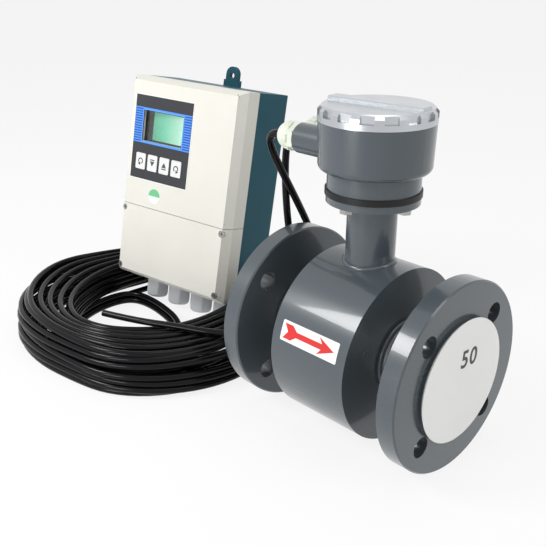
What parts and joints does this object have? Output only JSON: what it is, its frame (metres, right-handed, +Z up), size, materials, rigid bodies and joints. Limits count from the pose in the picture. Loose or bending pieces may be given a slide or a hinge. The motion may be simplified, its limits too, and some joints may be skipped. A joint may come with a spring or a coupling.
{
  "type": "electromagnetic flow meter",
  "caption": "Flanged electromagnetic flow sensor with a junction box on its neck, a leaning remote display converter, and their black cables wound in a coil.",
  "frame": {"origin": "middle of the measuring tube on the flow axis", "axes": "+X along the flow direction through the bore, +Z up through the neck and junction box"},
  "size_m": [0.5539, 0.3338, 0.291],
  "materials": {
    "sensor_paint": "semi-gloss grey-blue paint",
    "liner": "smooth white fluoropolymer",
    "tube_steel": "plain steel",
    "copper": "enamelled winding",
    "iron": "dark iron",
    "lid_metal": "bright machined",
    "black_rubber": "matte",
    "ivory_plastic": "moulded",
    "cable": "glossy black sheath",
    "cover_paint": "fine textured warm white",
    "case_paint": "dark teal paint",
    "panel": "dark slate film",
    "glass": "clear",
    "display": "green display",
    "key_plastic": "pale keys",
    "board": "green board",
    "module": "black moulding",
    "terminal_plastic": "pale moulding",
    "screw_steel": "plated",
    "white_plastic": "moulded",
    "seal_grey": "pale grey-green"
  },
  "bodies": {
    "root": {"measuring_tube": "tube_steel", "liner": "liner", "inlet_flange": "sensor_paint", "outlet_flange": "sensor_paint", "coil_housing": "sensor_paint", "housing_end_inlet": "sensor_paint", "housing_end_outlet": "sensor_paint", "electrode_left": "tube_steel", "electrode_right": "tube_steel", "electrode_bushes": "liner", "field_coil_top": "copper", "field_coil_bottom": "copper", "pole_shoe_top": "iron", "pole_shoe_bottom": "iron", "field_yoke": "iron", "neck": "sensor_paint", "neck_flange": "sensor_paint", "neck_bolts": "screw_steel", "box_gasket": "black_rubber", "junction_box": "sensor_paint", "terminal_block": "module", "terminal_screws": "screw_steel", "signal_gland_body": "ivory_plastic", "signal_gland_nut": "ivory_plastic", "signal_gland_seal": "black_rubber", "excitation_gland_body": "ivory_plastic", "excitation_gland_nut": "ivory_plastic", "excitation_gland_seal": "black_rubber", "signal_cable": "cable", "excitation_cable": "cable", "cable_coil": "cable", "cable_tail": "cable", "rear_housing": "case_paint", "front_cover": "cover_paint", "terminal_cover": "cover_paint", "cover_seal": "seal_grey", "cover_screws": "screw_steel", "keypad_panel": "panel", "display_window": "glass", "display_module": "display", "key_board": "board", "main_board": "board", "power_module": "module", "terminal_strip": "terminal_plastic", "gland_plugs": "module", "gland_body_1": "white_plastic", "gland_cap_1": "white_plastic", "gland_body_2": "white_plastic", "gland_cap_2": "white_plastic", "gland_body_3": "white_plastic", "gland_cap_3": "white_plastic", "gland_body_4": "white_plastic", "gland_cap_4": "white_plastic"},
    "lid": {"lid": "lid_metal"},
    "lid_carrier": {"lid_seal": "black_rubber"},
    "key_menu_body": {"key_menu": "key_plastic"},
    "key_down_body": {"key_down": "key_plastic"},
    "key_up_body": {"key_up": "key_plastic"},
    "key_enter_body": {"key_enter": "key_plastic"}
  },
  "joints": [
    {"name": "lid_rise", "type": "slide", "parent": "root", "child": "lid_carrier", "axis": [0, 0, 1], "range_m": [0, 0.008]},
    {"name": "lid_turn", "type": "hinge", "parent": "lid_carrier", "child": "lid", "pos_m": [0, 0, 0.19], "axis": [0, 0, 1], "range_deg": [0, 1440]},
    {"name": "key_menu_press", "type": "slide", "parent": "root", "child": "key_menu_body", "axis": [-0.188, 0.9655, -0.1803], "range_m": [0, 0.0005], "stiffness_N_per_m": 600, "springref_m": -0.0005},
    {"name": "key_down_press", "type": "slide", "parent": "root", "child": "key_down_body", "axis": [-0.188, 0.9655, -0.1803], "range_m": [0, 0.0005], "stiffness_N_per_m": 600, "springref_m": -0.0005},
    {"name": "key_up_press", "type": "slide", "parent": "root", "child": "key_up_body", "axis": [-0.188, 0.9655, -0.1803], "range_m": [0, 0.0005], "stiffness_N_per_m": 600, "springref_m": -0.0005},
    {"name": "key_enter_press", "type": "slide", "parent": "root", "child": "key_enter_body", "axis": [-0.188, 0.9655, -0.1803], "range_m": [0, 0.0005], "stiffness_N_per_m": 600, "springref_m": -0.0005}
  ],
  "couplings": [
    {"joint": "lid_rise", "follows": "lid_turn", "m_per_rad": 0.000318}
  ]
}
